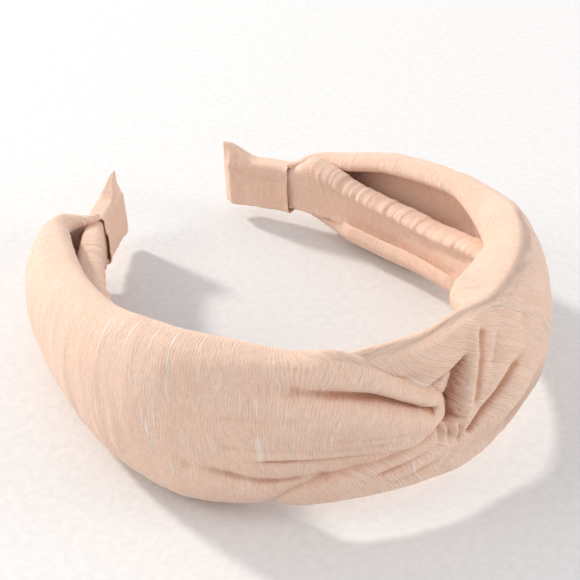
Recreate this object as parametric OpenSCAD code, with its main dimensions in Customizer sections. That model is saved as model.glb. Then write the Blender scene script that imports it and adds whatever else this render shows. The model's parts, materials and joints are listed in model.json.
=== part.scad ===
// Knotted headband: a sprung plastic band in a padded lining, covered by two gathered cloth sleeves
// that hook through each other over the crown. The knot lies towards -Y, the tips towards +Y, and left and
// right are as seen from the knot, with right towards +X.
// Places on the band are given as s, u and z: s runs along the band from the knot, u outwards from the
// middle of the core's thickness, and z across the band's width.

/* [Core] */
// Radius of the crown arc, at the middle of the core's thickness
crown_r = 57.3; // [54:0.1:62]
// Radius of each leg's arc
leg_r = 133; // [120:1:150]
// Angle that each leg turns inwards through, in degrees
leg_turn = 43.4; // [38:0.2:46]
// Thickness of the plastic core
core_t = 2; // [1.8:0.1:2.2]
// Width of the core over the crown
core_w = 14; // [13:0.5:18]
// Width of the core at its tips
core_tip_w = 12.6; // [11:0.2:15]
// Distance along the band from the knot to each flex line
flex_s = 20; // [19:0.5:22]

/* [Lining] */
// Thickness of the padding on the core's inner face
padding_t = 1.5; // [1:0.1:1.8]
// Thickness of the lining over the padding
lining_inner_t = 0.4; // [0.3:0.05:0.6]
// Thickness of the lining on the outer face, where its edges lap
lining_outer_t = 1.1; // [0.8:0.1:1.3]
// Thickness of the lining over the core's edges
lining_edge_t = 0.9; // [0.6:0.1:1.2]

/* [Sleeves] */
// Thickness of the gathered cloth
sleeve_t = 1.6; // [1.2:0.1:2]
// Width of a sleeve at its fullest
sleeve_w = 47.5; // [42:0.5:50]
// Width of a sleeve beside the knot
sleeve_knot_w = 39.5; // [36:0.5:42]
// Width that the sleeve's taper runs down to at the tip
sleeve_tip_w = 16; // [14:0.5:20]
// Distance along the band to the fullest place
sleeve_full_s = 68; // [60:1:76]
// How far the sleeve's middle stands out from the core towards its ends
sleeve_end_bulge = 10; // [7:0.5:11]
// How much further it stands out midway
sleeve_mid_bulge = 4; // [3:0.5:6]
// Length over which the sleeve closes down onto the lining, before the tip wrap
sleeve_close_len = 8; // [6:0.5:14]
// How far each edge curls in past the middle of the core
sleeve_lip = 2; // [1:0.2:2.4]
// How far the lower edge sags below the upper edge's mirror line
sleeve_sag = 2.2; // [0:0.2:3]

/* [Knot] */
// Width of the knot
knot_w = 42; // [38:0.5:44]
// How far the knot stands out from the core
knot_bulge = 12; // [10:0.5:14]
// Half the knot's length along the band
knot_half = 18.5; // [16:0.5:18.5]
// Slant of the line where the two loops meet, along the band for each millimetre across it
knot_slant = 0.6; // [0.3:0.05:0.7]

/* [Tips] */
// Length of band that each tip wrap covers
tip_wrap_len = 24.4; // [18:0.2:26]
// Thickness of the tip wrap
tip_wrap_t = 0.7; // [0.5:0.1:1]
// Length of the folded corner along the band
dog_ear_len = 13; // [8:0.5:16]
// Height of the folded corner above the tip wrap
dog_ear_h = 6; // [3:0.5:8]

/* [Stance] */
// Tilt of the band as it lies, with the knot end raised
tilt = 6.4; // [5:0.2:8]
// Height of the band's middle above the surface, where the crown arc meets the legs
rest_h = 23; // [22:0.2:25]

/* [Hidden] */
$fn = 96;

// Clearance between layers that touch
eps = 0.05;
dog_ear_t = 2.2;
fan_steps = 8;
sleeve_steps = 40;
sleeve_turns = 20;
knot_steps = 10;
knot_turns = 24;
per_mm = 180 / PI;
quarter_s = crown_r * PI / 2;
leg_len = leg_r * leg_turn / per_mm;
band_len = quarter_s + leg_len;
flex_turn = flex_s / crown_r * per_mm;

// Depths of the layers, from the middle of the core's thickness
core_u = core_t / 2;
padding_u0 = -core_u - eps - padding_t;
lining_u0 = padding_u0 - eps - lining_inner_t;
lining_cavity_u1 = core_u + 2 * eps;
lining_u1 = lining_cavity_u1 + lining_outer_t;

// The clear gap on each side of a flex line, and where the crown's and the arms' layers end
flex_gap = 0.5;
crown_lining_s = flex_s - flex_gap;
arm_lining_s = flex_s + flex_gap;
flex_bar_r = core_u - 2 * eps;
socket_r = core_u + flex_gap / 2;

// How far each layer stops short of the band's end
lining_end = 0.6;
core_end = lining_end + lining_edge_t + eps;

// The layers taper together over the legs, down to the tip width just past the tips
past_tips = 2;
taper_y = leg_r * sin(leg_turn) + past_tips;

// The knot rides over the lining, and its edges fold down past the lining's edges
knot_gap = 0.3;
knot_inner_u = lining_u1 + 0.7;
knot_edge_u = -1;
knot_rim = 0.8;
knot_fold = 1;
// Share of the knot's height that is left at its two ends
knot_shoulder = 0.8;
lining_half = core_w / 2 + lining_edge_t;

// The sleeve runs from beside the knot to the edge of the tip wrap
sleeve_start_s = flex_s + 5;
sleeve_end_s = band_len - tip_wrap_len - 0.5;

// The closed section is an oval that passes round the corners of the lining
round_corners = 1.45;
sleeve_closed_u = sleeve_t + round_corners * lining_u1;
// How quickly the sleeve fills out from its ends, where 1 follows a sine
fill_out = 0.8;

// The shift that centres the box on the origin
front_y = -(crown_r + knot_bulge) * cos(tilt) - knot_w / 4 * sin(tilt);
back_y = taper_y * cos(tilt) + (core_tip_w / 2 + dog_ear_h) * sin(tilt);
centre_y = (front_y + back_y) / 2;

function band_x(s, u) =
    s <= quarter_s
    ? (crown_r + u) * sin(s / crown_r * per_mm)
    : crown_r - leg_r + (leg_r + u) * cos((s - quarter_s) / leg_r * per_mm);

function band_y(s, u) =
    s <= quarter_s
    ? -(crown_r + u) * cos(s / crown_r * per_mm)
    : (leg_r + u) * sin((s - quarter_s) / leg_r * per_mm);

function place(s, u, z) = [band_x(s, u), band_y(s, u), z];

// Distance down from the core's middle to the surface that the band lies on
function rest_depth(s) = (rest_h - band_y(s, 0) * sin(tilt)) / cos(tilt);

// Half the lining's width
function lining_half_at(s) =
    lining_half - max(0, band_y(s, 0)) / taper_y * (core_w - core_tip_w) / 2;

// Width of a sleeve: a parabola up to the fullest place, then a cosine down to the tip
function sleeve_width(s) =
    s < sleeve_full_s
    ? sleeve_w - (sleeve_w - sleeve_knot_w) * pow((sleeve_full_s - s) / (sleeve_full_s - flex_s), 2)
    : sleeve_tip_w
        + (sleeve_w - sleeve_tip_w) * (1 + cos(180 * (s - sleeve_full_s) / (band_len - sleeve_full_s))) / 2;

// 1 along the open sleeve, falling to 0 where it closes onto the lining
function sleeve_open(s) =
    sin(90 * min(1, (sleeve_end_s - s) / sleeve_close_len));

function sleeve_bulge(s) =
    sleeve_closed_u + sleeve_open(s)
        * (sleeve_end_bulge + sleeve_mid_bulge * pow(sin(180 * s / band_len), fill_out) - sleeve_closed_u);

function sleeve_half(s) =
    let (closed = sleeve_t + round_corners * lining_half_at(s))
    closed + sleeve_open(s) * (max(closed, sleeve_width(s) / 2) - closed);

// The lying pose: tilted about X, lifted and centred
module lying() {
    translate([0, -centre_y, rest_h])
        rotate([-tilt, 0, 0])
            children();
}

// A fan from the origin that covers the turns between turn0 and turn1 out past the radius r
module fan(r, turn0, turn1) {
    step = (turn1 - turn0) / fan_steps;
    polygon([[0, 0], for (i = [0 : fan_steps]) 2 * r * [cos(turn0 + step * i), sin(turn0 + step * i)]]);
}

module ring_plan(r, u0, u1, turn0, turn1) {
    intersection() {
        difference() {
            circle(r = r + u1);
            circle(r = r + u0);
        }
        fan(r, turn0, turn1);
    }
}

// Plan of a layer between two distances along the band, on the +X side and across the knot
module band_plan(u0, u1, s0, s1) {
    union() {
        if (s0 < quarter_s)
            rotate(-90)
                ring_plan(crown_r, u0, u1, s0 / crown_r * per_mm, min(s1, quarter_s) / crown_r * per_mm);
        if (s1 > quarter_s)
            translate([crown_r - leg_r, 0])
                ring_plan(leg_r, u0, u1, max(0, s0 - quarter_s) / leg_r * per_mm,
                          (s1 - quarter_s) / leg_r * per_mm);
    }
}

// A layer of the band: w wide over the crown arc, tapering over the leg to tip_w
module strip(u0, u1, w, tip_w, s0, s1) {
    intersection() {
        translate([0, 0, -w / 2])
            linear_extrude(w)
                band_plan(u0, u1, s0, s1);
        translate([-leg_r, 0, 0])
            rotate([90, 0, 90])
                linear_extrude(2 * leg_r)
                    polygon([[-leg_r, -w / 2], [0, -w / 2], [taper_y, -tip_w / 2],
                             [leg_r, -tip_w / 2], [leg_r, tip_w / 2],
                             [taper_y, tip_w / 2], [0, w / 2], [-leg_r, w / 2]]);
    }
}

// A round bar on the +X flex line
module flex_bar(r, w) {
    rotate([0, 0, flex_turn - 90])
        translate([crown_r, 0, 0])
            cylinder(r = r, h = w, center = true);
}

module core_crown() {
    color("white")
        lying()
            difference() {
                strip(-core_u, core_u, core_w, core_tip_w, -flex_s, flex_s);
                flex_bar(socket_r, core_w + 1);
                mirror([1, 0, 0])
                    flex_bar(socket_r, core_w + 1);
            }
}

module core_arm() {
    color("white")
        union() {
            strip(-core_u, core_u, core_w, core_tip_w, flex_s, band_len - core_end);
            flex_bar(flex_bar_r, core_w);
        }
}

module padding_crown() {
    color("ivory")
        lying()
            strip(padding_u0, -core_u - eps, core_w, core_tip_w, -crown_lining_s, crown_lining_s);
}

module padding_arm() {
    color("ivory")
        strip(padding_u0, -core_u - eps, core_w, core_tip_w, arm_lining_s, band_len - core_end);
}

// The tube of lining between two distances, left open at each end that isn't closed
module lining_tube(s0, s1, open0, open1) {
    difference() {
        strip(lining_u0, lining_u1, core_w + 2 * lining_edge_t, core_tip_w + 2 * lining_edge_t, s0, s1);
        strip(padding_u0 - eps, lining_cavity_u1, core_w + 4 * eps, core_tip_w + 4 * eps,
              s0 - open0, s1 + open1);
    }
}

module lining_crown() {
    color("peachpuff")
        lying()
            lining_tube(-crown_lining_s, crown_lining_s, 1, 1);
}

module lining_arm() {
    color("peachpuff")
        lining_tube(arm_lining_s, band_len - lining_end, 1, -lining_edge_t);
}

// A closed skin over rings of equal, even length. Each ring runs along one face of a wall and back
// along the other, so the end caps are ladders between the two runs.
module skin(rings) {
    count = len(rings[0]);
    last = len(rings) - 1;
    sides = [
        for (i = [0 : last - 1])
            for (j = [0 : count - 1])
                let (k = (j + 1) % count)
                each [
                    [i * count + j, i * count + k, (i + 1) * count + k],
                    [i * count + j, (i + 1) * count + k, (i + 1) * count + j]
                ]
    ];
    start_cap = [
        for (j = [0 : count / 2 - 2])
            each [
                [j, count - 1 - j, j + 1],
                [j + 1, count - 1 - j, count - 2 - j]
            ]
    ];
    end_cap = [for (face = start_cap) [for (k = [2, 1, 0]) face[k] + last * count]];
    polyhedron(points = [for (ring = rings) each ring], faces = concat(sides, start_cap, end_cap));
}

// A point of the sleeve's C-shaped section, where side runs from -1 at the lower lip to 1 at the
// upper one. The lower half reaches down as far as the surface lets it.
function sleeve_point(s, side, inset) =
    let (
        bulge = sleeve_bulge(s),
        half = sleeve_half(s),
        lower = min(half + sleeve_sag * sleeve_open(s), rest_depth(s)),
        turn = side * (90 + asin(sleeve_lip / bulge)),
        reach = (turn < 0 ? lower : half) - inset
    )
    place(s, (bulge - inset) * cos(turn), reach * sin(turn));

function sleeve_ring(s) = concat(
    [for (i = [0 : sleeve_turns]) sleeve_point(s, 2 * i / sleeve_turns - 1, 0)],
    [for (i = [0 : sleeve_turns]) sleeve_point(s, 1 - 2 * i / sleeve_turns, sleeve_t)]
);

module sleeve_arm() {
    span = sleeve_end_s - sleeve_start_s;
    color("bisque")
        skin([for (i = [0 : sleeve_steps]) sleeve_ring(sleeve_start_s + span * i / sleeve_steps)]);
}

// Distance along the band, a share t of the way from s0 to s1, at the height z. Each end of a loop is
// either square (slant 0) or follows the slanted line where the loops meet.
function knot_s(t, s0, slant0, s1, slant1, z) =
    s0 + slant0 * z + (s1 - s0 + (slant1 - slant0) * z) * t;

// The knot is highest at its middle
function knot_top(s) =
    knot_edge_u
        + (knot_bulge - knot_edge_u) * (knot_shoulder + (1 - knot_shoulder) * cos(90 * s / knot_half));

// A ring of a loop: over the top from the lower edge to the upper one, then back along the inner face,
// which lies on the lining and is folded down past both its edges
function knot_ring(t, s0, slant0, s1, slant1) = concat(
    [
        for (i = [0 : knot_turns])
            let (
                turn = 180 * i / knot_turns - 90,
                z = knot_w / 2 * sin(turn),
                s = knot_s(t, s0, slant0, s1, slant1, z)
            )
            place(s, knot_edge_u + (knot_top(s) - knot_edge_u) * cos(turn), z)
    ],
    [
        for (i = [0 : knot_turns])
            let (
                turn = 90 - 180 * i / knot_turns,
                z = (knot_w / 2 - knot_rim) * sin(turn),
                s = knot_s(t, s0, slant0, s1, slant1, z),
                folded = abs(z) > lining_half + knot_fold
            )
            place(s, folded ? knot_edge_u + knot_rim / 2 * cos(turn) : knot_inner_u, z)
    ]
);

module knot_loop(s0, slant0, s1, slant1) {
    color("bisque")
        lying()
            skin([for (i = [0 : knot_steps]) knot_ring(i / knot_steps, s0, slant0, s1, slant1)]);
}

module glue_knot() {
    color("gainsboro")
        lying()
            strip(lining_u1 + eps, knot_inner_u - 2 * eps, core_w / 2, core_tip_w / 2,
                  -knot_half / 2, knot_half / 2);
}

module tip_wrap_arm() {
    inner_w = core_w + 2 * (lining_edge_t + eps);
    inner_tip_w = core_tip_w + 2 * (lining_edge_t + eps);
    from_s = band_len - tip_wrap_len;
    ear_base = inner_tip_w / 2 + tip_wrap_t / 2;
    ear_slope = (core_w - core_tip_w) / 2 / taper_y;
    color("mistyrose")
        union() {
            difference() {
                strip(lining_u0 - eps - tip_wrap_t, lining_u1 + eps + tip_wrap_t,
                      inner_w + 2 * tip_wrap_t, inner_tip_w + 2 * tip_wrap_t,
                      from_s, band_len + tip_wrap_t);
                strip(lining_u0 - eps, lining_u1 + eps, inner_w, inner_tip_w, from_s - 1, band_len);
            }
            translate([crown_r - leg_r, 0, 0])
                rotate([0, 0, leg_turn])
                    translate([leg_r - dog_ear_t / 2, 0, 0])
                        rotate([90, 0, 90])
                            linear_extrude(dog_ear_t)
                                polygon([[-dog_ear_len, ear_base + dog_ear_len * ear_slope],
                                         [tip_wrap_t / 2, ear_base],
                                         [tip_wrap_t / 2, ear_base + dog_ear_h]]);
        }
}

// An arm's piece, drawn on the +X side and mirrored for the other
module right_side() {
    lying()
        children();
}

module left_side() {
    lying()
        mirror([1, 0, 0])
            children();
}

core_crown();
left_side() core_arm();  // core_left_arm
right_side() core_arm();  // core_right_arm
padding_crown();
left_side() padding_arm();  // padding_left_arm
right_side() padding_arm();  // padding_right_arm
lining_crown();
left_side() lining_arm();  // lining_left_arm
right_side() lining_arm();  // lining_right_arm
left_side() sleeve_arm();  // sleeve_left
right_side() sleeve_arm();  // sleeve_right
knot_loop(-knot_half, 0, -knot_gap / 2, knot_slant);  // knot_left_loop
knot_loop(knot_gap / 2, knot_slant, knot_half, 0);  // knot_right_loop
left_side() tip_wrap_arm();  // tip_wrap_left
right_side() tip_wrap_arm();  // tip_wrap_right
glue_knot();
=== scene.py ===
import json
import math

import bpy
import numpy as np
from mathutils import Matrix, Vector

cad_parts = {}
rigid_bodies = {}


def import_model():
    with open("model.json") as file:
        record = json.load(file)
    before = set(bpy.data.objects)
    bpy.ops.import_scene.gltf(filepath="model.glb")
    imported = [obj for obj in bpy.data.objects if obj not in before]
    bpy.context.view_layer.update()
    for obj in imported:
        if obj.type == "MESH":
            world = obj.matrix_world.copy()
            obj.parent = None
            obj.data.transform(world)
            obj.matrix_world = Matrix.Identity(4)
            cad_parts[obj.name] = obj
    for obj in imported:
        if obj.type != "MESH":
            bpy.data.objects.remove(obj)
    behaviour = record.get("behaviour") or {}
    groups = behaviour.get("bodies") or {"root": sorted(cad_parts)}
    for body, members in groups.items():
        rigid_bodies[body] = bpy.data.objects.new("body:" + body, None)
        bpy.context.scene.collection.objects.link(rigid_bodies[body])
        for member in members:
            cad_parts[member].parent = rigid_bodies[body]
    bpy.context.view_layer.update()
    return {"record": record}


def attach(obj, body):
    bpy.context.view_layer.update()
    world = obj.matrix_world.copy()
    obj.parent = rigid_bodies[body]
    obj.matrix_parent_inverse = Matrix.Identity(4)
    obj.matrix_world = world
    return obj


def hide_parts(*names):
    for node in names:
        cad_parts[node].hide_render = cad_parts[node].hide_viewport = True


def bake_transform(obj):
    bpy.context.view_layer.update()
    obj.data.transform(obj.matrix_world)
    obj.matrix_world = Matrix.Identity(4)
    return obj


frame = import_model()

# The headband's cloth, lining and core, built round the CAD model's band. Lengths here are in millimetres
# unless a name says otherwise, and become metres when a mesh is made. Places on the band are s, u and z:
# s along the band from the knot, negative towards the left arm, u outwards from the middle of the core,
# and z across the band's width.

CAD_NODES = {thing.name for thing in bpy.data.objects if thing.type == "MESH"}
MM = 0.001

# ---------------------------------------------------------------------------------------------------
# The band's own frame: the crown's arc from the clamp mount, and the legs with part.scad's sizes
# ---------------------------------------------------------------------------------------------------

CLAMP = frame["record"]["mounts"][0]
CENTRE = np.array(CLAMP["pos_m"]) / MM
ACROSS = np.array(CLAMP["axis"]) / np.linalg.norm(CLAMP["axis"])
SIDE = np.array([1.0, 0.0, 0.0])
BACK = np.cross(ACROSS, SIDE)

# The core's half width over the crown and at the tips, and its thickness
CORE_HALF, CORE_TIP_HALF, CORE_T = 7.0, 6.3, 2.0
# From the middle of the core to the lining's inner face and to its outer one, and past the core's edge
LINING_DEPTH, LINING_OUT, EDGE = 3.0, 2.1, 0.9

# The crown is an arc of the core's middle line, and each leg is a flatter arc beyond it
CROWN_R = CLAMP["dims"]["r_mm"] + LINING_DEPTH
QUARTER = CROWN_R * math.pi / 2
LEG_R, LEG_TURN = 133.0, math.radians(43.4)
BAND_LEN = QUARTER + LEG_R * LEG_TURN
# How far back the core's taper runs, to a little past the tip
TAPER_Y = LEG_R * math.sin(LEG_TURN) + 2.0

TIP_WRAP_LEN = 24.4
WRAP_START = BAND_LEN - TIP_WRAP_LEN


def place(s, u, z):
    """Points of the shared frame, in metres, from arrays of band coordinates in millimetres."""
    s, u, z = np.broadcast_arrays(np.asarray(s, float), u, z)
    past = np.abs(s) - QUARTER
    leg = np.maximum(past, 0.0) / LEG_R
    x_leg = np.sign(s) * (CROWN_R - LEG_R + (LEG_R + u) * np.cos(leg))
    x = np.where(past > 0, x_leg, (CROWN_R + u) * np.sin(s / CROWN_R))
    y = np.where(past > 0, (LEG_R + u) * np.sin(leg), -(CROWN_R + u) * np.cos(s / CROWN_R))
    spot = CENTRE + x[..., None] * SIDE + y[..., None] * BACK + z[..., None] * ACROSS
    return spot * MM


def leg_share(s):
    """0 over the crown arc, rising to 1 where the band's taper ends."""
    leg = np.maximum(np.abs(s) - QUARTER, 0.0) / LEG_R
    return LEG_R * np.sin(leg) / TAPER_Y


def core_half(s):
    """The core's half width, which tapers along each leg."""
    return CORE_HALF - (CORE_HALF - CORE_TIP_HALF) * leg_share(s)


def band_sag(s):
    """The right band's shift in z from the middle of its sleeve towards the lower edge, which leaves the
    pocket above it open. The left band lies in the middle."""
    return through(s, (56, 0.0), (84, -2.6), (100, -5.0), (117, -4.7), (136, -2.9), (149, -0.2), (156, 0.0))


def rest_depth(s):
    """Distance down from the band's middle line to the surface that it lies on."""
    middle = place(s, 0.0, 0.0)[..., 2] / MM
    return middle / ACROSS[2]


# ---------------------------------------------------------------------------------------------------
# Shape helpers
# ---------------------------------------------------------------------------------------------------


def smooth(x, low, high):
    """0 below low and 1 above high, with an eased rise between."""
    t = np.clip((np.asarray(x, float) - low) / (high - low), 0.0, 1.0)
    return t * t * (3 - 2 * t)


def fade(x, low, high):
    """1 below low and 0 above high, with an eased fall between."""
    return smooth(-x, -high, -low)


def bell(x, width):
    """1 at zero, falling away to 0 on both sides."""
    return np.exp(-((x / width) ** 2))


def mix(a, b, t):
    return a + (b - a) * t


def through(x, *stops):
    """A smooth curve through (place, value) stops, flat beyond the first and the last."""
    xs, ys = np.array(stops, float).T
    x = np.clip(x, xs[0], xs[-1])
    slopes = np.gradient(ys, xs)
    slopes[0] = slopes[-1] = 0.0
    i = np.clip(np.searchsorted(xs, x, side="right") - 1, 0, len(xs) - 2)
    span = xs[i + 1] - xs[i]
    t = (x - xs[i]) / span
    rise = ys[i + 1] - ys[i]
    a = slopes[i] * span - rise
    b = rise - slopes[i + 1] * span
    return mix(ys[i], ys[i + 1], t) + t * (1 - t) * (a * (1 - t) + b * t)


def round_edge(depth, width):
    """0 at an edge and 1 past a quarter-round of this width inside it."""
    t = np.clip(depth / width, 0.0, 1.0)
    return np.sqrt(1.0 - (1.0 - t) ** 2)


LATTICE_SIZE = 64
LATTICE = np.random.default_rng(11).uniform(-1.0, 1.0, (LATTICE_SIZE, LATTICE_SIZE))


def noise(x, y, seed=0):
    """Smooth noise between -1 and 1 with features one unit apart."""
    x, y = np.asarray(x, float) + 17.3 * seed, np.asarray(y, float) + 9.1 * seed
    i, j = np.floor(x).astype(int), np.floor(y).astype(int)
    fx, fy = x - i, y - j
    fx, fy = fx * fx * (3 - 2 * fx), fy * fy * (3 - 2 * fy)
    i0, i1 = i % LATTICE_SIZE, (i + 1) % LATTICE_SIZE
    j0, j1 = j % LATTICE_SIZE, (j + 1) % LATTICE_SIZE
    low = mix(LATTICE[i0, j0], LATTICE[i1, j0], fx)
    high = mix(LATTICE[i0, j1], LATTICE[i1, j1], fx)
    return mix(low, high, fy)


def spline(a, b, c, d, f):
    """A smooth curve from b to c, at the share f of the way, with a and d as its neighbours."""
    bent = (2 * a - 5 * b + 4 * c - d) * f**2 + (3 * b - a - 3 * c + d) * f**3
    return 0.5 * (2 * b + (c - a) * f + bent)


def curve_samples(points):
    """Close points on a smooth open curve through a few (s, z) points."""
    p = np.array(points, float)
    p = np.vstack([2 * p[0] - p[1], p, 2 * p[-1] - p[-2]])
    # Up to just before the last point, which has no stretch of its own
    t = np.linspace(0, len(points) - 1 - 1e-9, 48)
    i = t.astype(int)
    return spline(p[i], p[i + 1], p[i + 2], p[i + 3], (t - i)[:, None])


def nearest(s, z, points):
    """Distance to a curve, signed positive on its right, and the share of the way along it."""
    line = curve_samples(points)
    ds = s[..., None] - line[:, 0]
    dz = z[..., None] - line[:, 1]
    gap = ds**2 + dz**2
    i = np.argmin(gap, axis=-1)
    step = np.gradient(line, axis=0)
    right = np.take_along_axis(ds, i[..., None], -1)[..., 0] * -step[i, 1]
    right += np.take_along_axis(dz, i[..., None], -1)[..., 0] * step[i, 0]
    return np.sqrt(np.min(gap, axis=-1)) * np.where(right > 0, -1.0, 1.0), i / (len(line) - 1)


def groove(s, z, points, depths, widths):
    """A rounded groove, or a ridge where the depth is negative, along a curve. depths and widths are
    values at its start, middle and end."""
    d, t = nearest(s, z, points)
    stops = (0.0, 0.5, 1.0)
    depth = through(t, *zip(stops, depths))
    width = through(t, *zip(stops, widths))
    return -depth * bell(d, width)


def folds(s, z, table):
    """The relief of several grooves, each listed as its curve, its depths and its widths."""
    return sum(groove(s, z, *row) for row in table)


def section(points):
    """One array of control points, for each station and place in the loop, from a list of (u, z)."""
    return np.stack([np.stack(np.broadcast_arrays(u, z), axis=-1) for u, z in points], axis=1)


def evenly(path, count, *others):
    """A closed path's columns at count evenly spaced places, and there the values of other lists that
    have a value at each of its points."""
    run = np.concatenate([[0.0], np.cumsum(np.linalg.norm(np.diff(path, axis=0), axis=1))])
    at = np.linspace(0, run[-1], count + 1)[:-1]
    return [np.interp(at, run, values) for values in (*path.T, *others)]


def loop_curve(controls, count):
    """Evenly spaced points round a smooth closed loop, for each row of control points, and where each
    lies in the list of control points."""
    rows, knots = controls.shape[:2]
    fine = 16
    t = np.arange(knots * fine) / fine
    i = t.astype(int)
    f = (t - i)[None, :, None]
    path = spline(*(controls[:, (i + k) % knots] for k in (-1, 0, 1, 2)), f)
    path = np.concatenate([path, path[:, :1]], axis=1)
    t = np.append(t, knots)
    out = np.empty((rows, count, 2))
    where = np.empty((rows, count))
    for r in range(rows):
        out[r, :, 0], out[r, :, 1], where[r] = evenly(path[r], count, t)
    return out, where


# ---------------------------------------------------------------------------------------------------
# Mesh helpers
# ---------------------------------------------------------------------------------------------------


def crease_shade_mask(u):
    """How deep each point of a grid lies below its neighbours, from 0 to 1: the mask for painted shade in
    creases.
    """
    level = u.copy()
    reach = 3
    for axis in (0, 1) * 3:
        level = (np.roll(level, reach, axis) + level + np.roll(level, -reach, axis)) / 3
    return smooth(level - u, 0.08, 0.75)


def grid_object(name, points, cloth, caps=None, fold=None):
    """A mesh over a grid of points whose rows are closed loops, with a cap on "both" ends, the "far" end
    or neither. Each point has a cloth coordinate, in millimetres along and across the weave, and a
    painted-shade value, 1 at the bottom of a crease, where the material paints the cloth darker as shade."""
    rows, cols = points.shape[:2]
    index = np.arange(rows * cols).reshape(rows, cols)
    beside = np.roll(index, -1, axis=1)
    quads = np.stack([index[:-1], beside[:-1], beside[1:], index[1:]], axis=-1).reshape(-1, 4)
    faces = quads.tolist()
    if caps == "both":
        faces.append(index[0, ::-1].tolist())
    if caps:
        faces.append(index[-1].tolist())
    mesh = bpy.data.meshes.new(name)
    mesh.from_pydata(points.reshape(-1, 3).tolist(), [], faces)
    mesh.update()
    mesh.shade_smooth()
    weave = mesh.attributes.new("cloth", "FLOAT_VECTOR", "POINT")
    weave.data.foreach_set("vector", cloth.reshape(-1, 3).astype(np.float32).ravel())
    # Painted shade: 1 at the bottom of a crease, where the material darkens the cloth's colour
    crease_shade = mesh.attributes.new("fold", "FLOAT", "POINT")
    fold = np.zeros(points.shape[:2]) if fold is None else fold
    crease_shade.data.foreach_set("value", fold.astype(np.float32).ravel())
    obj = bpy.data.objects.new(name, mesh)
    bpy.context.scene.collection.objects.link(obj)
    return obj


def apply_modifiers(obj):
    """Give the object the mesh that its modifiers make."""
    bpy.context.view_layer.update()
    graph = bpy.context.evaluated_depsgraph_get()
    mesh = bpy.data.meshes.new_from_object(obj.evaluated_get(graph), depsgraph=graph)
    old = obj.data
    obj.modifiers.clear()
    obj.data = mesh
    bpy.data.meshes.remove(old)
    mesh.name = obj.name


def thicken(obj, thickness):
    """Give a sheet its thickness on its inner side."""
    solid = obj.modifiers.new("thickness", "SOLIDIFY")
    solid.thickness = thickness * MM
    solid.offset = -1.0
    apply_modifiers(obj)


def finish_piece(obj, material):
    """Give a piece its material."""
    obj.data.materials.clear()
    obj.data.materials.append(material)


# ---------------------------------------------------------------------------------------------------
# Sleeves: each is a flattened tube of cloth that runs from the tip wrap to its loop in the knot
# ---------------------------------------------------------------------------------------------------

SLEEVE_T = 0.4
# Where a sleeve's arm starts beside the knot, how far the fine stations and the knot's relief reach, and
# where the sleeve ends, under the tip wrap
ARM_START, FINE_TO, KNOT_REACH, SLEEVE_END = 20.0, 48.0, 70.0, 167.0
COARSE_STEP = 0.75
# Points round a sleeve's section
SLEEVE_COUNT = 230
# The place among the section's control points where the crosswise measure starts again
HIDDEN_SEAM = 15.5
# Shifts each piece's weave, so that no two have the same pattern
WEAVE_SHIFT = 40.0
# Room between the middle of the lower edge and the floor, for the cloth's thickness and puckers
FLOOR_ROOM = 1.1
# How far outside the middle of the core the inner layer passes behind the lining
BEHIND = 2.9
# Turns of the section's outer control points, from the upper crest down to the lower one
OUTER_TURNS = np.radians([90, 74, 58, 42, 26, 10, -10, -26, -42, -58, -74, -90])
# The control point that stands out furthest
OUTER_MIDDLE = 5


def crest(s, left):
    """The sleeve's upper edge, as (u, z)."""
    u = through(s, (20, 0.4), (60, 1.2), (84, 2.2), (100, 3.4), (120, 4.2), (134, 5.2), (148, 7.0),
                (158, 8.6), (163, 7.0), (167, 1.4))
    z = through(s, (20, 19.8), (40, 22.3), (60, 23.5), (70, 23.4), (84, 21.8), (100, 20.4), (120, 18.4),
                (134, 16.8), (148, 14.6), (158, 12.8), (163, 11.4), (167, 8.5))
    if not left:
        u = u - 1.6 * smooth(s, 130, 156) * fade(s, 163, 167)
        z = z - 1.9 * smooth(s, 128, 156) * fade(s, 162, 167)
    return u, z


def sleeve_bulge(s, left):
    """How far the sleeve's outer layer stands out."""
    if left:
        return through(s, (20, 12.0), (45, 12.8), (90, 14.2), (120, 16.6), (136, 17.6), (150, 16.4),
                       (158, 14.0), (163, 9.8), (167, 3.3))
    return through(s, (20, 12.8), (45, 12.7), (62, 11.4), (78, 11.6), (95, 13.0), (120, 14.6), (140, 14.8),
                   (152, 13.8), (158, 12.0), (163, 8.2), (167, 3.3))


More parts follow.
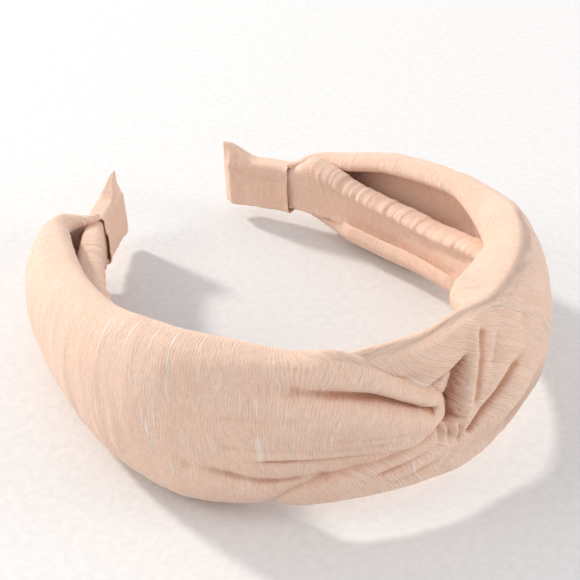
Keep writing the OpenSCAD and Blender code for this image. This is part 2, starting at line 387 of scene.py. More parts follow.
def arm_loop(s, left):
    """Control points of the tube's section along an arm: down the outer layer from the top crest, then
    up the inner layer. Beside the knot the upper edge swells inwards over the lining, and towards the
    tip the inner layer lies against the outer one and leaves a deep pocket beside the lining."""
    crest_u, crest_z = crest(s, left)
    bulge = sleeve_bulge(s, left)
    lining = core_half(s) + EDGE
    near = 1 - smooth(s, 40, 70)
    # Where the pocket is open, and where a roll laps over its floor on the right
    scoop = smooth(s, 74, 104) * fade(s, 160, 167)
    low = np.minimum(crest_z + 1.8 * smooth(s, 40, 60) * fade(s, 150, 164), rest_depth(s) - FLOOR_ROOM)
    low_u = 2.4 * smooth(s, 50, 80) * fade(s, 158, 167)
    if left:
        lap = 0.0
        puff = through(s, (20, 3.0), (60, 3.4), (90, 2.6), (120, 1.5))
    else:
        low = np.minimum(low, through(s, (146, 18.0), (151, 15.4), (158, 12.6), (163.5, 7.9), (167, 7.4)))
        lap = smooth(s, 74, 94) * fade(s, 138, 160)
        puff = through(s, (20, 8.6), (36, 12.4), (50, 10.0), (64, 5.6), (78, 3.6), (104, 2.6))

    lower_power = through(s, (20, 0.5), (50, 0.62), (80, 0.85), (120, 0.8), (150, 0.6))
    points = []
    for turn in OUTER_TURNS:
        side_u, reach, power = (crest_u, crest_z, 0.72) if turn > 0 else (low_u, low, lower_power)
        out = max(math.cos(turn), 0.0) ** power
        points.append((side_u + (bulge - side_u) * out, reach * math.sin(turn)))

    def mixed(plain, scooped, lapped):
        """One coordinate from its values beside the knot, in the pocket and in the lapping roll."""
        return mix(mix(plain, scooped, scoop), lapped, lap)

    inner = bulge - through(s, (20, 6.0), (80, 5.2), (120, 5.8), (150, 4.6), (163, 1.6), (167, 0.8))
    # The lower edge, a rolled lip, and up behind the lining
    points += [
        (mixed(-2.6, 0.2, -3.2), mixed(2.4, 1.6, 2.2) - low),
        (mixed(-3.0, -1.2, -6.7), -mixed(np.minimum(lining + 3.2, low - 0.8), low - 4.8, low - 6.6)),
        (mixed(BEHIND, 0.72 * inner, -5.6), -mixed(lining, 0.56 * low, low - 10.4)),
        (mixed(BEHIND, inner, -2.8), -mixed(0.4 * lining, 0.2 * low, low - 7.4)),
        (mixed(BEHIND, inner, 0.85 * inner), mixed(0.4 * lining, 0.2 * crest_z, -0.24 * low)),
    ]
    # The upper lip, which folds down over the lining beside the knot
    lip_z = np.minimum(lining + mix(3.4, 0.6, near), crest_z - 0.6)
    puff_z = 0.42 * crest_z + 0.5 * lining + 2.2
    points += [
        (mix(mix(BEHIND, -1.0, 1 - near), 0.86 * inner, scoop), mix(lining, 0.52 * crest_z, scoop)),
        (mix(-0.62 * puff - 1.0, crest_u - 2.2, scoop), mix(lip_z, crest_z - 5.4, scoop)),
        (mix(-puff, crest_u - 2.8, scoop), mix(puff_z, crest_z - 2.6, scoop)),
    ]
    return section(points)


def knot_loop(top, bottom, bulge, inner, flat=0.8):
    """The same control points where a sleeve passes through the knot: a flattened tube between two
    crests, standing out to bulge and lying on the layer below at inner."""
    mid, half = (top + bottom) / 2, (top - bottom) / 2
    points = []
    for turn in OUTER_TURNS:
        out = max(math.cos(turn), 0.0) ** flat
        points.append((inner + (bulge - inner) * out, mid + half * math.sin(turn)))
    for share in (-0.97, -0.8, -0.5, -0.17, 0.17, 0.5, 0.8, 0.97):
        points.append((inner - 0.8 * math.sqrt(1 - share**2), mid + half * share))
    return section(points)


def stations(start, fine_step):
    """Distances along the band from the sleeve's end in the knot, close together through the knot."""
    near = np.arange(start, FINE_TO, fine_step)
    rest = np.linspace(FINE_TO, SLEEVE_END, int((SLEEVE_END - FINE_TO) / COARSE_STEP))
    return np.concatenate([near, rest])


# The edges of the left loop's tongue, whose upper one lies on the right loop's back roll
TONGUE_TOP = ((-46, 22.4), (-30, 22.0), (-22, 22.4), (-15, 19.2), (-9, 14.8), (-4, 10.6), (0, 8.0),
              (3, 4.4), (5, 1.4))
TONGUE_LOW = ((-46, -22.0), (-38, -19.0), (-25, -15.0), (-12, -11.0), (-5, -7.5), (0, -4.6), (3, -2.0),
              (5, 0.0))
# The upper edge of the right loop's sweep over the left loop
SWEEP_TOP = ((-44, -24.0), (-35, -16.5), (-24, -10.8), (-16, -8.5), (-9, -6.6), (-4, -4.6), (0, -2.8),
             (7, -3.0))
# The crease under the right loop's back roll, and the ridge to the right of the panel below it
ROLL_CREASE = ((12, 20), (9, 16.4), (6, 13.8), (2, 11.8), (-3, 9.4), (-8, 7))
RIDGE = ((15, 25), (10.4, 21.5), (8.4, 17), (7.8, 12.5), (6.4, 6.5), (5.6, 0.5), (5.0, -5))

# Each fold is a curve of (s, z) points, then its depths and its widths at the start, middle and end. A
# negative depth makes a ridge.
LEFT_FOLDS = (
    # The fold that runs into the tongue, the rolled top edge above it and the dome below it
    (((-50, 14.6), (-30, 14), (-16, 11.2), (-8, 7.2), (-1, 2.4)), (0.8, 4.4, 2.8), (4.4, 2.1, 1.2)),
    (((-26, 19), (-15, 15.4), (-6, 9.4), (1, 4.6)), (0.0, -1.2, -0.8), (3.0, 2.0, 1.5)),
    (((-40, 4), (-20, 4.4), (-9, 2.4), (-3, 0)), (0.0, -1.5, -1.0), (7.0, 4.4, 2.2)),
    # Softer and finer lines on the dome and below it
    (((-66, -7), (-50, -9), (-36, -12), (-26, -11)), (0.0, 1.6, 1.0), (3.0, 2.6, 2.0)),
    (((-62, 8), (-40, 7.4), (-20, 8.4)), (0.0, 0.6, 0.3), (1.6, 1.4, 1.0)),
    (((-54, -1), (-36, -0.8), (-14, -1.2)), (0.0, 0.7, 0.6), (1.8, 1.2, 0.9)),
    (((-30, 1.8), (-18, 1.6), (-7, 0.6)), (0.0, 0.4, 0.3), (1.2, 0.9, 0.7)),
)
RIGHT_FOLDS = (
    # The back roll over the upper edge, undercut along the crease
    (((-22, 19.5), (-9, 17.6), (0, 16.4), (6, 18.8), (12, 22.5)), (-0.4, -1.9, -0.4), (2.4, 3.6, 2.6)),
    (((-16, 14.4), (-8, 13.4), (-2, 13.2)), (0.0, 1.2, 0.3), (1.2, 1.1, 1.0)),
    # Pleats that gather out of the cavity
    (((0.2, -2.6), (0.8, -5.4), (0.2, -9.5)), (1.5, 1.5, 0.0), (0.7, 0.75, 1.0)),
    (((2.8, -1.4), (3.2, -5.6), (3.0, -10.5)), (1.7, 1.6, 0.0), (0.65, 0.75, 1.0)),
    (((6.0, -5.2), (5.8, -8.4), (5.0, -12.5)), (1.2, 1.2, 0.0), (0.7, 0.8, 1.0)),
    (((1.8, -2.4), (2.0, -5), (1.6, -9)), (-0.9, -0.8, 0.0), (0.7, 0.8, 1.0)),
    (((4.4, -3.4), (4.6, -6.4), (4.0, -10.5)), (-0.9, -0.8, 0.0), (0.7, 0.8, 1.0)),
    # The valley right of the ridge's roll, and softer folds beyond it
    (((36, 9), (25, 4.4), (17, -0.8), (12, -4.6), (9.0, -8)), (0.0, 3.0, 3.0), (3.6, 1.7, 1.0)),
    (((40, 2), (28, -2.4), (19, -6.8), (13, -11)), (0.0, -1.2, -0.4), (4.0, 2.8, 1.8)),
    (((46, -2), (32, -7), (20, -12.6), (8, -17)), (0.0, 1.3, 0.3), (3.4, 1.9, 1.4)),
    # Long folds that run out of the knot
    (((0, -9), (-10, -12.6), (-26, -17)), (0.4, 1.0, 0.0), (0.8, 1.2, 1.6)),
    (((4, -12), (-6, -16.6), (-20, -20)), (0.3, 0.8, 0.0), (0.9, 1.2, 1.4)),
    (((14, 4), (17, 12), (22, 22)), (0.3, 1.0, 0.2), (1.2, 1.7, 2.6)),
    (((24, 7), (30, 14), (40, 22)), (0.2, 0.8, 0.2), (1.6, 2.2, 3.0)),
)


def left_field(s, z):
    """Relief on the left loop's outer layer."""
    # The crease under the lower dome, and the flank that falls from it under the sweep
    crease = through(s, (-50, -3.4), (-24, -2.8), (-17, -3.3), (-11, -4.2), (-6, -4.6), (0, -2.4))
    under = crease - z
    flank = 1.5 * smooth(under, -0.2, 1.2) + 0.14 * np.clip(under, 0, 9)
    edge = 0.7 * bell(under + 1.4, 1.5) - 2.2 * bell(under - 1.4, 0.85)
    return folds(s, z, LEFT_FOLDS) + smooth(s, -46, -22) * (edge - flank)


def right_field(s, z):
    """Relief on the right loop's outer layer."""
    from_ridge, along = nearest(s, z, RIDGE)
    from_crease, _ = nearest(s, z, ROLL_CREASE)
    # The ridge itself: a narrow roll on the right of its crease
    on_ridge = smooth(along, 0.02, 0.25) * fade(along, 0.8, 1.0)
    relief = on_ridge * (1.7 * bell(from_ridge + 1.5, 1.5) - 0.9 * bell(from_ridge + 5.0, 1.8))
    # The panel between the back roll and the ridge lies deep, deepest at the cavity
    panel = smooth(from_ridge, -0.3, 1.0) * fade(from_crease, -1.5, 0.3) * smooth(z, -4.0, -1.5)
    depth = through(z, (-3, 6.8), (1, 6.4), (4, 4.0), (8, 2.6), (13, 2.0), (18, 1.6), (23, 0.8))
    foot = 1.4 * bell(from_ridge - 1.3, 0.7) + 1.7 * bell(from_crease + 1.1, 0.7)
    foot -= 0.9 * bell(from_ridge - 4.6, 1.6)
    relief -= (depth + foot * smooth(z, -2, 2)) * panel
    return relief + folds(s, z, RIGHT_FOLDS)


# Puckers of the cloth: their length along and across the weave, their height, and their noise's number
PUCKERS = ((2.6, 22.0, 0.21, 0), (6.5, 18.0, 0.34, 3), (1.4, 8.0, 0.08, 7), (24.0, 20.0, 0.25, 5))


def cloth_ripple(along, across, seed):
    """Soft puckers across the cloth's width and a slower swell."""
    return sum(height * noise(along / length, across / width, seed + number)
               for length, width, height, number in PUCKERS)


def ring_lengths(points):
    """Each row's running length, from its first point."""
    step = np.linalg.norm(np.diff(points, axis=1), axis=-1)
    return np.concatenate([np.zeros((len(points), 1)), np.cumsum(step, axis=1)], axis=1)


def left_flow(s, z):
    """Slope of the cloth's crosswise threads on the left loop: 0 straight across the band."""
    return -0.6 * smooth(s, -36, -12) * smooth(z, -7, 7)


def right_flow(s, z):
    """The same on the right loop, whose threads turn right round under the ridge."""
    turned = through(s, (-12, 1.2), (2, 2.6), (16, 2.1), (34, 1.3), (58, 0.5), (80, 0.0))
    return mix(0.55 * fade(s, 10, 44), turned, smooth(z, -16, -4))


def make_sleeve(name, side, s_list, loops, field, flow, seed):
    """Skin one sleeve from its section at each station."""
    ring, where = loop_curve(loops, SLEEVE_COUNT)
    s = np.repeat((side * s_list)[:, None], SLEEVE_COUNT, axis=1)
    u, z = ring[..., 0].copy(), ring[..., 1]
    outer_end = len(OUTER_TURNS) - 1
    on_outer = smooth(where, 0.2, 1.4) * smooth(outer_end - where, 0.2, 1.4)
    slope = flow(s, z) * on_outer
    # The crosswise measure starts at the crest and runs both ways, so that its ends meet out of sight
    loop_length = np.linalg.norm(ring - np.roll(ring, 1, axis=1), axis=-1).sum(axis=1, keepdims=True)
    across = ring_lengths(ring) - np.where(where > HIDDEN_SEAM, loop_length, 0.0)
    across = across - slope * s / np.sqrt(1 + slope**2)
    along = (s + slope * z) / np.sqrt(1 + slope**2)
    near = np.abs(s[:, 0]) < KNOT_REACH
    u[near] += on_outer[near] * field(s[near], z[near])
    u += (0.35 + 0.65 * on_outer) * cloth_ripple(along, across, seed) * fade(np.abs(s), 152, 164)
    cloth = np.stack([along, across, np.full_like(along, seed * WEAVE_SHIFT)], axis=-1)
    # Painted shade, strongest at the bottoms of the knot's creases, from how deep each point lies below its
    # neighbours
    fold = np.where(near[:, None], crease_shade_mask(u) * on_outer, 0.0)
    return grid_object(name, place(s, u, z), cloth, fold=fold)


def left_sleeve():
    """The left sleeve's cloth, whose end in the knot is the tongue."""
    s_list = stations(-5.0, 0.45)
    s = -s_list
    bulge = through(s, (-46, 13.2), (-30, 12.8), (-20, 12.6), (-8, 12.4), (-2, 11.4), (2, 9.0), (5, 5.8))
    inner = through(s, (-46, 3.2), (-20, 5.0), (-6, 6.4), (2, 5.6), (5, 4.4))
    knot = knot_loop(through(s, *TONGUE_TOP), through(s, *TONGUE_LOW), bulge, inner)
    arm = arm_loop(np.maximum(s_list, ARM_START), True)
    loops = mix(knot, arm, smooth(s_list, 24, 46)[:, None, None])
    return make_sleeve("cloth_left", -1, s_list, loops, left_field, left_flow, 1)


# Where the right loop's outer layer lies under the left loop's tongue
UNDER_TONGUE = 4.4


def right_visible(s, z):
    """1 where the right loop lies on top, 0 where it passes under the left loop's tongue."""
    under_sweep = round_edge(through(s, *SWEEP_TOP) - z, 2.6)
    over_roll = round_edge(z - through(s, *TONGUE_TOP) + 2.5, 3.0)
    wedge = np.maximum(under_sweep, over_roll)
    return mix(wedge, 1.0, smooth(s, 3.0, 8.0))


def right_sleeve():
    """The right sleeve's cloth. Its end in the knot passes under the left one's tongue, and its lower
    part sweeps over the left one."""
    s = stations(-44.0, 0.5)
    top = through(s, (-44, 4), (-32, 9), (-24, 16.5), (-18, 20.0), (-12, 20.6), (0, 20.8), (10, 22.6),
                  (26, 23.0))
    bottom = through(s, (-44, -20.0), (-36, -21.8), (-20, -22.2), (0, -22.4), (26, -22.8))
    bulge = through(s, (-44, 6.6), (-34, 9.2), (-20, 10.0), (0, 10.8), (12, 11.6), (26, 12.6))
    inner = through(s, (-44, 4.6), (-30, 4.0), (-16, 2.8), (26, 2.8))
    knot = knot_loop(top, bottom, bulge, inner, flat=0.62)
    arm = arm_loop(np.maximum(s, ARM_START), False)
    loops = mix(knot, arm, smooth(s, 10, 30)[:, None, None])

    def field(s_grid, z_grid):
        # Where it passes underneath, the layer is brought down to the same height everywhere
        shown = right_visible(s_grid, z_grid)
        stands = np.interp(np.clip(s_grid[:, 0], -44, 60), s, loops[:, OUTER_MIDDLE, 0])[:, None]
        return shown * right_field(s_grid, z_grid) - (1 - shown) * (stands - UNDER_TONGUE)

    return make_sleeve("cloth_right", 1, s, loops, field, right_flow, 2)


# ---------------------------------------------------------------------------------------------------
# Core, padding, lining and tip wraps
# ---------------------------------------------------------------------------------------------------

# The core's and the padding's stations, points round a section and rounded edge
STRIP_ROWS, STRIP_COUNT, STRIP_CORNER = 150, 40, 0.6
PADDING_T, LINING_T, WRAP_T = 1.5, 0.3, 0.35
# How far the tip wrap's outer face stands off the lining
WRAP_ROOM = 0.75


def strip_loop(s, inner_u, outer_u, half, corner, count):
    """A rounded rectangle at each station, as rows of (u, z)."""
    points = []
    for k in range(4):
        corner_u = outer_u - corner if k in (0, 3) else inner_u + corner
        up = 1 if k in (0, 1) else -1
        for turn in np.radians(np.linspace(k * 90, (k + 1) * 90, 9)):
            points.append((corner_u + corner * math.cos(turn) + 0 * s,
                           up * (half - corner) + corner * math.sin(turn)))
    ring = np.empty((len(s), count, 2))
    for row, path in zip(ring, section(points + points[:1])):
        row[:, 0], row[:, 1] = evenly(path, count)
    # Start in the middle of the outer face, where the weave's ends meet out of sight
    start = np.argmin(np.abs(ring[0, :, 1]) - ring[0, :, 0])
    return np.roll(ring, -start, axis=1)


def make_strip(name, side, s_list, ring, seed, ripple=None, caps=None):
    """Skin a strip that runs along the band from its middle to one tip."""
    s = np.repeat((side * s_list)[:, None], ring.shape[1], axis=1)
    u, z = ring[..., 0].copy(), ring[..., 1].copy()
    if ripple is not None:
        du, dz = ripple(s, u, z)
        u += du
        z += dz
    if side > 0:
        z += band_sag(s)
    cloth = np.stack([s, ring_lengths(ring), np.full_like(s, seed * WEAVE_SHIFT)], axis=-1)
    return grid_object(name, place(s, u, z), cloth, caps=caps)


def core_side(side, name):
    """Half of the plastic strip, with its end rounded."""
    end = BAND_LEN - 1.6
    s_list = np.linspace(0, end, STRIP_ROWS)
    ring = strip_loop(s_list, -CORE_T / 2, CORE_T / 2, core_half(s_list), STRIP_CORNER, STRIP_COUNT)
    narrowed = 1 - 0.5 * smooth(s_list, BAND_LEN - 6, end) ** 3
    ring[..., 1] *= narrowed[:, None]
    return make_strip(name, side, s_list, ring, 4, caps="both")


def padding_side(side, name):
    """Half of the wadding on the core's inner face."""
    s_list = np.linspace(0, BAND_LEN - 2.4, STRIP_ROWS)
    back = -CORE_T / 2 - 0.1
    ring = strip_loop(s_list, back - PADDING_T, back, core_half(s_list) - 0.2, STRIP_CORNER, STRIP_COUNT)

    def crowned(s, u, z):
        swell = -0.12 * np.cos(np.clip(z / core_half(s), -1, 1) * math.pi / 2) * (u < -CORE_T)
        return swell + 0.05 * noise(s / 3, z / 3, 6), 0 * z

    return make_strip(name, side, s_list, ring, 5, crowned, caps="both")


def lining_side(side, name):
    """The cloth tube round the core. Its upper edge is a puffed roll, gathered with small pleats."""
    s_list = np.linspace(0, BAND_LEN - 0.8, 460)
    puffed = smooth(s_list, 60, 90) * fade(s_list, 150, 166)
    half = core_half(s_list) + EDGE + 0.5 * puffed
    ring = strip_loop(s_list, -LINING_DEPTH, LINING_OUT, half, 1.9, 110)

    def gathers(s, u, z):
        edge = core_half(s) + EDGE
        on = smooth(np.abs(s), 60, 90) * fade(np.abs(s), 150, 166)
        pleat = noise(s / 1.7, z / 9.0, 7) + 0.6 * noise(s / 0.95, z / 6.0, 8)
        roll = bell(z - edge + 1.4, 2.1) + 0.45 * bell(z + edge - 1.4, 1.6)
        inner = fade(u, -1.8, 1.6)
        drag = 0.22 * noise((s - 1.4 * z) / 7.0, (z + s) / 30.0, 9) + 0.1 * noise(s / 3.0, z / 8.0, 10)
        du = -inner * on * roll * (2.5 + 0.42 * pleat)
        du = du + np.where(u > 0, 1.0, -1.0) * drag * np.clip(np.abs(u) / 2, 0, 1)
        dz = on * smooth(z / edge, 0.4, 1.0) * (0.3 + 0.28 * pleat)
        dz = dz - on * fade(z / edge, -1.0, -0.6) * 0.2 * pleat
        # On the right the roll runs up to the end of the sleeve's crest
        rise = through(s, (140, 0.0), (152, 2.4), (158, 4.2), (163, 1.2), (167, 0.0))
        return du, dz + rise * smooth(z / edge, 0.3, 1.0)

    return make_strip(name, side, s_list, ring, 6, gathers)


def tip_wrap(side, name):
    """A strip of cloth folded round the tip like an envelope, with its upper corner left pinched up."""
    end = BAND_LEN + 0.6
    s_list = np.linspace(WRAP_START, end, 110)
    half = core_half(s_list) + EDGE + WRAP_ROOM
    ring = strip_loop(s_list, -LINING_DEPTH - WRAP_ROOM, LINING_OUT + WRAP_ROOM, half, 1.5, 120)
    # The end is pressed flat
    flat = smooth(s_list, BAND_LEN - 3.4, end)[:, None] ** 2
    ring[..., 0] = mix(ring[..., 0], -0.4 + 0.18 * (ring[..., 0] + 0.4), flat)
    s = np.repeat(s_list[:, None], ring.shape[1], axis=1)
    u, z = ring[..., 0].copy(), ring[..., 1].copy()
    half = half[:, None]
    # The pinched corner: a thin fin drawn up from the upper edge towards the very end
    fin = smooth(s, BAND_LEN - 13, BAND_LEN - 0.5) ** 1.6 * smooth(z / half, 0.8, 1.0)
    z += 5.6 * fin
    u = mix(u, -0.6 + 0.25 * (u + 0.6), fin)
    # The flap's edge on the inner face, and the turned-in hem at the wrap's start
    edge = through(s, (WRAP_START, 2.6), (BAND_LEN - 9, 3.0), (BAND_LEN - 3, 5.4), (BAND_LEN, 7.2))
    u -= fade(u, -2.5, -0.5) * 0.5 * smooth(edge - z, -0.25, 0.25)
    hem = fade(s, WRAP_START + 0.2, WRAP_START + 1.6)
    u += np.sign(u) * 0.22 * hem * np.clip(np.abs(u), 0, 1)
    z += np.sign(z) * 0.2 * hem * smooth(np.abs(z) / half, 0.8, 1.0)
    wrinkle = noise(s / 3.2, z / 8.0, 12) * 0.22 + noise((s + z) / 2.2, z / 12.0, 13) * 0.12
    u += np.sign(u) * wrinkle * np.clip(np.abs(u) / 2, 0, 1)
    z += 0.12 * noise(s / 2.4, z / 6.0, 14)
    cloth = np.stack([s * side, ring_lengths(ring), np.full_like(s, 7.5 * WEAVE_SHIFT)], axis=-1)
    return grid_object(name, place(side * s, u, z), cloth, caps="far")


# ---------------------------------------------------------------------------------------------------
# Materials
# ---------------------------------------------------------------------------------------------------


class Graph:
    """A short way to write a material's nodes."""

    def __init__(self, name):
        self.material = bpy.data.materials.new(name)
        self.material.use_nodes = True
        self.tree = self.material.node_tree
        self.shader = self.tree.nodes["Principled BSDF"]

    def node(self, kind, inputs=(), **settings):
        made = self.tree.nodes.new("ShaderNode" + kind)
        for key, value in settings.items():
            setattr(made, key, value)
        for key, value in dict(inputs).items():
            if hasattr(value, "is_output"):
                self.tree.links.new(value, made.inputs[key])
            else:
                made.inputs[key].default_value = value
        return made

    def maths(self, operation, a, b=0.0, c=0.0):
        return self.node("Math", {0: a, 1: b, 2: c}, operation=operation).outputs[0]

    def vector(self, operation, a, b):
        return self.node("VectorMath", {0: a, 1: b}, operation=operation).outputs[0]

    def attribute(self, name, output):
        return self.node("Attribute", attribute_name=name, attribute_type="GEOMETRY").outputs[output]

    def spot(self):
        return self.node("TexCoord").outputs["Object"]

    def bump(self, height, strength, depth):
        """A normal from a height, for a relief of this depth in millimetres."""
        made = self.node("Bump", {"Height": height, "Strength": strength, "Distance": depth * MM})
        return made.outputs[0]

    def ramp(self, value, *stops):
        """A colour for each value, from (value, colour) stops."""
        made = self.node("ValToRGB", {0: value})
        made.color_ramp.interpolation = "EASE"
        while len(made.color_ramp.elements) < len(stops):
            made.color_ramp.elements.new(0.5)
        for element, (place_on, colour) in zip(made.color_ramp.elements, stops):
            element.position = place_on
            element.color = (*colour, 1.0)
        return made.outputs[0]

    def mix_colour(self, share, a, b):
        """A mix of two colours, each a socket or three numbers."""
        a, b = (colour if hasattr(colour, "is_output") else (*colour, 1.0) for colour in (a, b))
        return self.node("Mix", {0: share, 6: a, 7: b}, data_type="RGBA").outputs[2]

    def scaled_noise(self, vector, scale, detail=2.0, rough=0.5, output="Fac"):
        """Noise along the vector, with scale features to each of its units."""
        spread = self.vector("MULTIPLY", vector, scale)
        made = self.node("TexNoise", {"Vector": spread, "Scale": 1.0, "Detail": detail, "Roughness": rough})
        return made.outputs[output]

    def out(self, **sockets):
        """Set the shader's inputs, whose names have underscores for their spaces."""
        for name, value in sockets.items():
            key = name.replace("_", " ")
            if hasattr(value, "is_output"):
                self.tree.links.new(value, self.shader.inputs[key])
            else:
                self.shader.inputs[key].default_value = value


def grey(value):
    """A neutral colour."""
    return (value, value, value)


# The threads' spacing, in millimetres, and how much darker the pinholes between them are
WEFT_STEP, WARP_STEP, HOLE_SHADE = 0.66, 0.5, 0.4
SLUB_PALE = (0.93, 0.80, 0.71)


def crepe(name, pale, mid, deep, slub_amount=1.0):
    """Gauzy crepe: fine threads across the width, open pinholes between them, and raised slub yarns."""
    g = Graph(name)
    cloth = g.attribute("cloth", "Vector")
    # Threads meander a little, slowly along the cloth and quickly from crinkle to crinkle
    bent = cloth
    for scale, reach in (((0.1, 0.07, 1.0), (2.2, 1.2, 0.0)), ((0.5, 0.36, 1.0), (0.9, 0.5, 0.0))):
        waver = g.scaled_noise(cloth, scale, output="Color")
        shift = g.vector("MULTIPLY", g.vector("SUBTRACT", waver, grey(0.5)), reach)
        bent = g.vector("ADD", bent, shift)
    split = g.node("SeparateXYZ", {0: bent})
    along, across = split.outputs[0], split.outputs[1]
    # Threads: weft lines across the width and a finer warp, with open pinholes where both part
    weft = g.maths("SINE", g.maths("MULTIPLY", along, 2 * math.pi / WEFT_STEP))
    warp = g.maths("SINE", g.maths("MULTIPLY", across, 2 * math.pi / WARP_STEP))
    weft = g.maths("MULTIPLY_ADD", weft, 0.5, 0.5)
    warp = g.maths("MULTIPLY_ADD", warp, 0.5, 0.5)
    threads = g.maths("MAXIMUM", weft, g.maths("MULTIPLY", warp, 0.8))
    uneven = g.scaled_noise(bent, (1.1, 0.5, 1.0), 3.0, 0.6)
    hole = g.maths("POWER", g.maths("SUBTRACT", 1.0, threads), 1.5)
    hole = g.maths("MULTIPLY", hole, g.ramp(uneven, (0.4, grey(0.12)), (0.62, grey(1.0))))
    # Slubs: thin pale yarns that run across the width in short broken lengths, thicker here and there
    where = g.scaled_noise(cloth, (0.09, 0.07, 2.0), 2.0, 0.5)
    thin = g.ramp(g.scaled_noise(bent, (1.5, 0.09, 1.0), 1.0, 0.4), (0.60, grey(0.0)), (0.70, grey(0.75)))
    thick = g.ramp(g.scaled_noise(bent, (0.8, 0.05, 3.0), 1.0, 0.4), (0.655, grey(0.0)), (0.72, grey(1.0)))
    slub = g.maths("MAXIMUM", thin, thick)
    slub = g.maths("MULTIPLY", slub, g.ramp(where, (0.4, grey(0.35)), (0.6, grey(1.0))))
    slub = g.maths("MULTIPLY", slub, slub_amount)
    # Crepe: a fine irregular crinkle, and the fluff of the yarn
    crinkle = g.scaled_noise(bent, (1.9, 0.6, 2.0), 4.0, 0.62)
    fluff = g.scaled_noise(cloth, (3.2, 3.2, 3.2), 3.0, 0.6)
    blotch = g.scaled_noise(cloth, (0.07, 0.05, 1.0), 3.0, 0.55)
    half_tone = tuple(mix(np.array(mid), np.array(pale), 0.55))
    base = g.ramp(crinkle, (0.34, half_tone), (0.6, pale))
    base = g.mix_colour(g.ramp(blotch, (0.35, grey(0.0)), (0.7, grey(0.3))), base, mid)
    base = g.mix_colour(g.maths("MULTIPLY", hole, HOLE_SHADE), base, deep)
    base = g.mix_colour(g.maths("MULTIPLY", slub, 0.75), base, SLUB_PALE)
    # Painted shade: creases are mixed towards the deep colour, darker and warmer, by the crease mask
    base = g.mix_colour(g.maths("MULTIPLY", g.attribute("fold", "Fac"), 0.8), base, deep)
    height = g.maths("MULTIPLY", threads, 0.3)
    height = g.maths("MULTIPLY_ADD", crinkle, 0.75, height)
    height = g.maths("MULTIPLY_ADD", slub, 0.6, height)
    height = g.maths("MULTIPLY_ADD", fluff, 0.15, height)
    rough = g.ramp(crinkle, (0.2, grey(0.92)), (0.8, grey(0.74)))
    g.out(Base_Color=base, Roughness=rough, Normal=g.bump(height, 1.0, 0.36))
    g.out(Subsurface_Weight=0.15, Subsurface_Scale=0.0018, Subsurface_Radius=(1.0, 0.7, 0.5))
    g.out(Sheen_Weight=0.18, Sheen_Roughness=0.45, Sheen_Tint=(1.0, 0.93, 0.88, 1.0))
    g.out(Specular_IOR_Level=0.25)
    return g.material


def moulded_plastic(name, colour):
    """Plastic with a fine grain and faint flow streaks."""
    g = Graph(name)
    grain = g.scaled_noise(g.spot(), (900.0, 900.0, 900.0), 4.0, 0.6)
    streak = g.scaled_noise(g.spot(), (60.0, 60.0, 400.0), 3.0, 0.5)
    shade = tuple(c * 0.9 for c in colour)
    base = g.mix_colour(g.ramp(streak, (0.3, grey(0.0)), (0.7, grey(0.5))), colour, shade)
    rough = g.ramp(grain, (0.3, grey(0.42)), (0.7, grey(0.55)))
    g.out(Base_Color=base, Roughness=rough, Normal=g.bump(grain, 0.25, 0.05))
    return g.material


def wadding(name, colour):
    """Soft wadding of fine fibres."""
    g = Graph(name)
    fibre = g.scaled_noise(g.spot(), (1200.0, 1200.0, 300.0), 6.0, 0.7)
    shade = tuple(c * 0.82 for c in colour)
    base = g.mix_colour(g.ramp(fibre, (0.35, grey(0.0)), (0.7, grey(1.0))), colour, shade)
    rough = g.ramp(fibre, (0.3, grey(0.95)), (0.7, grey(0.85)))
    g.out(Base_Color=base, Roughness=rough, Normal=g.bump(fibre, 0.9, 0.2))
    return g.material


def paper_floor(name):
    """Pale paper with a little tooth."""
    g = Graph(name)
    tooth = g.scaled_noise(g.spot(), (420.0, 420.0, 420.0), 5.0, 0.62)
    base = g.ramp(tooth, (0.3, (0.735, 0.73, 0.72)), (0.7, (0.785, 0.78, 0.77)))
    rough = g.ramp(tooth, (0.3, grey(0.9)), (0.7, grey(0.8)))
    g.out(Base_Color=base, Roughness=rough, Normal=g.bump(tooth, 0.35, 0.35))
    return g.material


# ---------------------------------------------------------------------------------------------------
# Build the pieces
# ---------------------------------------------------------------------------------------------------

PALE, MID, DEEP = (0.89, 0.635, 0.50), (0.83, 0.52, 0.375), (0.50, 0.22, 0.12)
sleeve_cloth = crepe("sleeve_crepe", PALE, MID, DEEP)
lining_cloth = crepe("lining_crepe", PALE, MID, DEEP, slub_amount=0.45)
wrap_cloth = crepe("tip_wrap_crepe", PALE, MID, DEEP, slub_amount=0.3)
core_plastic = moulded_plastic("core_plastic", (0.74, 0.68, 0.60))
glue_plastic = moulded_plastic("glue_plastic", (0.80, 0.77, 0.68))
padding_fluff = wadding("padding_wadding", (0.84, 0.80, 0.73))

# Distances from the knot, for the strips and the sleeves, that bend is given
STRIP_BEND, SLEEVE_BEND = (12, 34), (24, 60)


def middle_at(s):
    """A point on the band's middle line, in metres."""
    return tuple(place(s, 0.0, 0.0).tolist())


def bend(obj, side, start, end):
    """Bake the piece's placement into its mesh. The points on the band's middle line at the two distances
    from the knot are worked out, but nothing uses them.
    """
    middle_at(side * start)
    middle_at(side * end)
    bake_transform(obj)


for side, word in ((-1, "left"), (1, "right")):
    core = core_side(side, f"core_{word}")
    finish_piece(core, core_plastic)
    bend(core, side, *STRIP_BEND)
    padding = padding_side(side, f"padding_{word}")
    finish_piece(padding, padding_fluff)
    bend(padding, side, *STRIP_BEND)
    lining = lining_side(side, f"lining_{word}")
    thicken(lining, LINING_T)
    finish_piece(lining, lining_cloth)
    bend(lining, side, *STRIP_BEND)
    wrap = tip_wrap(side, f"tip_cloth_{word}")
    thicken(wrap, WRAP_T)
    finish_piece(wrap, wrap_cloth)
    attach(wrap, f"{word}_arm")
    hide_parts(f"tip_wrap_{word}")
    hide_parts(f"core_{word}_arm", "core_crown")
    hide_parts(f"padding_{word}_arm", "padding_crown")
    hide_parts(f"lining_{word}_arm", "lining_crown")

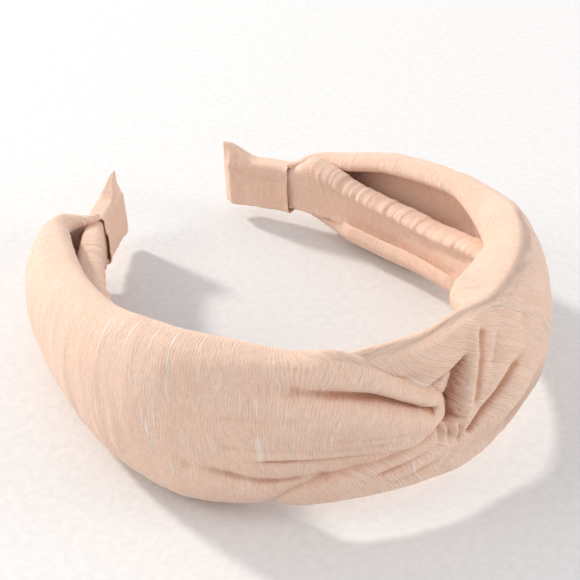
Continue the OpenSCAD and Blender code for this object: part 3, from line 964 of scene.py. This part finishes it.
left = left_sleeve()
thicken(left, SLEEVE_T)
finish_piece(left, sleeve_cloth)
bend(left, -1, *SLEEVE_BEND)
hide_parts("sleeve_left", "knot_left_loop")

right = right_sleeve()
thicken(right, SLEEVE_T)
finish_piece(right, sleeve_cloth)
bend(right, 1, *SLEEVE_BEND)
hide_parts("sleeve_right", "knot_right_loop")

# The CAD model's own nodes, shown or not, have the same materials
NODE_LOOKS = {"core": core_plastic, "padding": padding_fluff, "lining": lining_cloth, "sleeve": sleeve_cloth,
              "knot": sleeve_cloth, "tip": wrap_cloth, "glue": glue_plastic}
for node_object in list(bpy.data.objects):
    look = NODE_LOOKS.get(node_object.name.split("_")[0])
    if look is not None and node_object.type == "MESH" and node_object.name in CAD_NODES:
        node_object.data.materials.clear()
        node_object.data.materials.append(look)

# ---------------------------------------------------------------------------------------------------
# Floor, light and camera, in metres
# ---------------------------------------------------------------------------------------------------

FLOOR_HALF = 1.5
corners = [(x * FLOOR_HALF, y * FLOOR_HALF, 0) for x, y in ((-1, -1), (1, -1), (1, 1), (-1, 1))]
floor_mesh = bpy.data.meshes.new("floor")
floor_mesh.from_pydata(corners, [], [(0, 1, 2, 3)])
floor = bpy.data.objects.new("floor", floor_mesh)
floor_mesh.materials.append(paper_floor("floor_paper"))
bpy.context.scene.collection.objects.link(floor)


def direction(turn, rise):
    """The level direction at this turn from +Y towards -X, tilted up by rise."""
    return Vector((-math.sin(turn) * math.cos(rise), math.cos(turn) * math.cos(rise), math.sin(rise)))


def aim(obj, way):
    """Turn a light or camera to face this way."""
    obj.rotation_euler = way.to_track_quat("-Z", "Y").to_euler()


def area_light(name, location, size, watts, colour):
    """A round soft light that faces the headband."""
    data = bpy.data.lights.new(name, "AREA")
    data.shape = "DISK"
    data.size = size
    data.energy = watts
    data.color = colour
    obj = bpy.data.objects.new(name, data)
    obj.location = location
    bpy.context.scene.collection.objects.link(obj)
    aim(obj, Vector(LIT_POINT) - obj.location)


# The key comes low from the back left, and two weak fills and the room do the rest
LIT_POINT = (0, 0, 0.02)
KEY_TURN, KEY_RISE, KEY_DISTANCE = math.radians(22.7), math.radians(28.0), 3.0
area_light("key", direction(KEY_TURN, KEY_RISE) * KEY_DISTANCE, 0.32, 66.0, (1.0, 0.955, 0.89))
area_light("left_fill", (-1.2, 0.35, 0.8), 0.8, 5.0, (1.0, 0.93, 0.86))
area_light("right_fill", (1.1, -0.9, 0.55), 0.8, 7.0, (1.0, 0.975, 0.95))

world = bpy.data.worlds.new("room")
bpy.context.scene.world = world
world.use_nodes = True
background = world.node_tree.nodes["Background"]
background.inputs["Color"].default_value = (0.93, 0.95, 1.0, 1.0)
background.inputs["Strength"].default_value = 0.76

# The camera stands where the photograph's outlines put it
CAMERA_TURN, CAMERA_RISE = math.radians(-28.75), math.radians(34.93)
camera_data = bpy.data.cameras.new("camera")
camera_data.sensor_width = 36.0
camera_data.lens = 82.3
camera = bpy.data.objects.new("camera", camera_data)
camera.location = (-0.1527, -0.2817, 0.2444)
aim(camera, direction(CAMERA_TURN, -CAMERA_RISE))
bpy.context.scene.collection.objects.link(camera)
bpy.context.scene.camera = camera
bpy.context.scene.view_settings.view_transform = "Standard"
